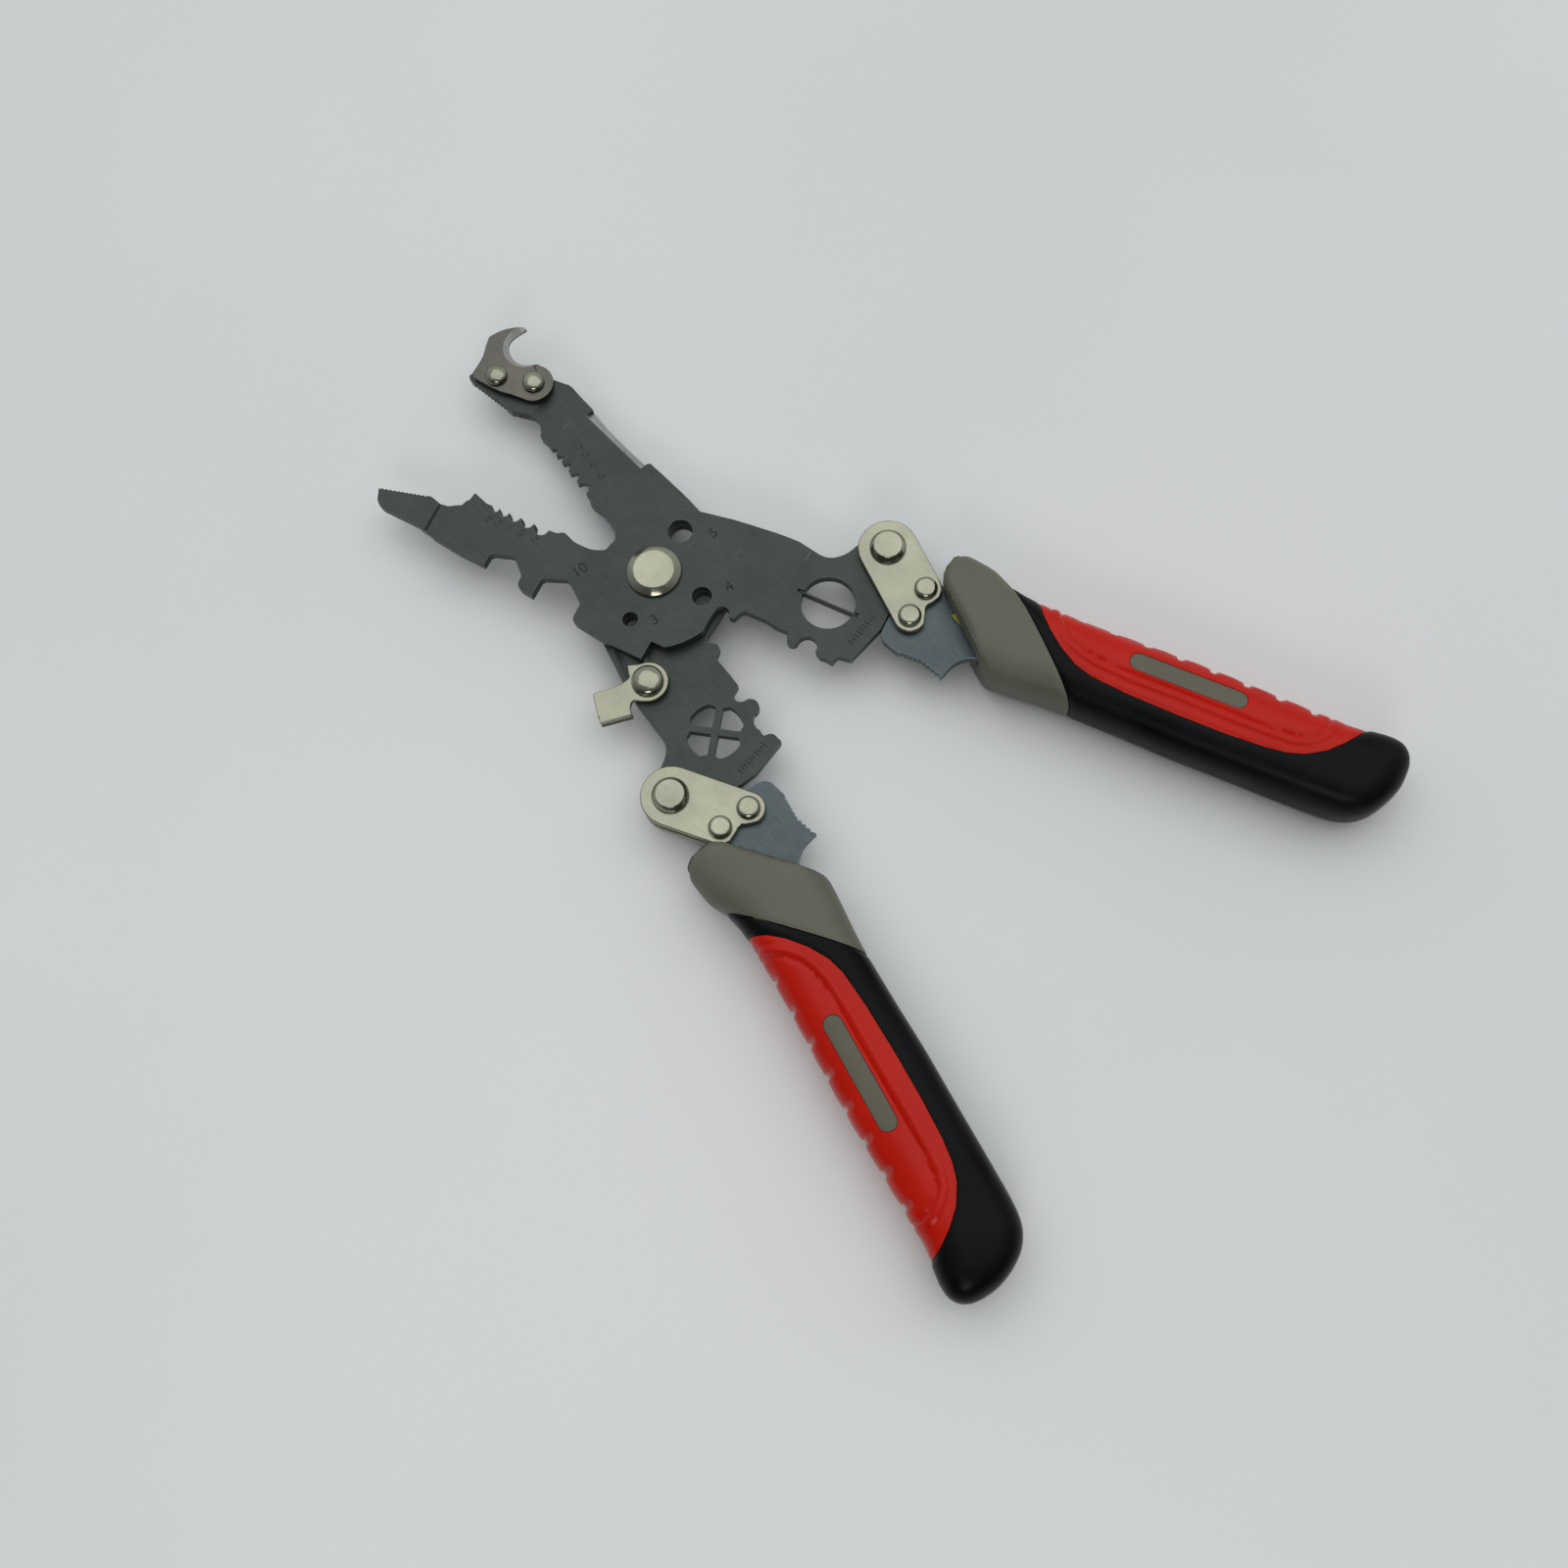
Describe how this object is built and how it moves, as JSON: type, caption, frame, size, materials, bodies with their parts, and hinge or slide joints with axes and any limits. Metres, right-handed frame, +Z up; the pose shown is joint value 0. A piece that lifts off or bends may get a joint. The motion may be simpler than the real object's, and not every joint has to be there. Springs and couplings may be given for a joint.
{
  "type": "wire stripper",
  "caption": "Sheet-steel wire stripper with scissored jaws, stripping notches, bolt shears, crimping teeth, a jacket hook, a lock lever and two grips that fold outwards.",
  "frame": {"origin": "below the middle of the tool's box, on the surface it lies on", "axes": "+X from the jaw tips towards the grips, +Y from half B's side to half A's side, +Z up through the main pivot"},
  "size_m": [0.2124, 0.1392, 0.0159],
  "materials": {
    "jaw_steel": "black oxide, faintly brushed",
    "handle_steel": "blued, satin",
    "nickel_plate": "pressed and nickel plated, warm",
    "stainless_blade": "ground stainless, satin",
    "spring_wire": "drawn wire",
    "grip_taupe": "satin, soft touch",
    "grip_black": "satin, soft touch",
    "grip_red": "gloss",
    "core_yellow": "moulded, matt"
  },
  "bodies": {
    "half_a": {"jaw_plate_a": "jaw_steel", "pivot_rivet": "nickel_plate", "pivot_spring": "spring_wire", "splitter_blade": "stainless_blade"},
    "half_b": {"jaw_plate_b": "jaw_steel", "hook_blade": "stainless_blade", "hook_rivet_rear": "nickel_plate", "hook_rivet_front": "nickel_plate", "latch_rivet": "nickel_plate"},
    "latch": {"latch_lever": "nickel_plate"},
    "handle_a": {"link_top_a": "nickel_plate", "link_bottom_a": "nickel_plate", "fold_rivet_a": "nickel_plate", "link_rivet_outer_a": "nickel_plate", "link_rivet_inner_a": "nickel_plate", "handle_tang_a": "handle_steel", "grip_core_a": "core_yellow", "grip_collar_a": "grip_taupe", "grip_body_a": "grip_black", "grip_panel_a": "grip_red", "grip_pad_top_a": "grip_taupe", "grip_pad_bottom_a": "grip_taupe"},
    "handle_b": {"link_top_b": "nickel_plate", "link_bottom_b": "nickel_plate", "fold_rivet_b": "nickel_plate", "link_rivet_outer_b": "nickel_plate", "link_rivet_inner_b": "nickel_plate", "handle_tang_b": "handle_steel", "grip_core_b": "core_yellow", "grip_collar_b": "grip_taupe", "grip_body_b": "grip_black", "grip_panel_b": "grip_red", "grip_pad_top_b": "grip_taupe", "grip_pad_bottom_b": "grip_taupe"}
  },
  "joints": [
    {"name": "jaw_pivot", "type": "hinge", "parent": "half_a", "child": "half_b", "pos_m": [-0.03975, 0.00455, 0.00796], "axis": [0, 0, 1], "range_deg": [0, 28], "stiffness_Nm_per_rad": 0.3, "springref_deg": -28.65},
    {"name": "handle_a_fold", "type": "hinge", "parent": "half_a", "child": "handle_a", "pos_m": [-0.00461, 0.03928, 0.00796], "axis": [0, 0, 1], "range_deg": [0, 155]},
    {"name": "handle_b_fold", "type": "hinge", "parent": "half_b", "child": "handle_b", "pos_m": [-0.00461, -0.03019, 0.00796], "axis": [0, 0, -1], "range_deg": [-5, 150]},
    {"name": "latch_turn", "type": "hinge", "parent": "half_b", "child": "latch", "pos_m": [-0.02501, -0.01448, 0.00796], "axis": [0, 0, -1], "range_deg": [0, 18]}
  ]
}
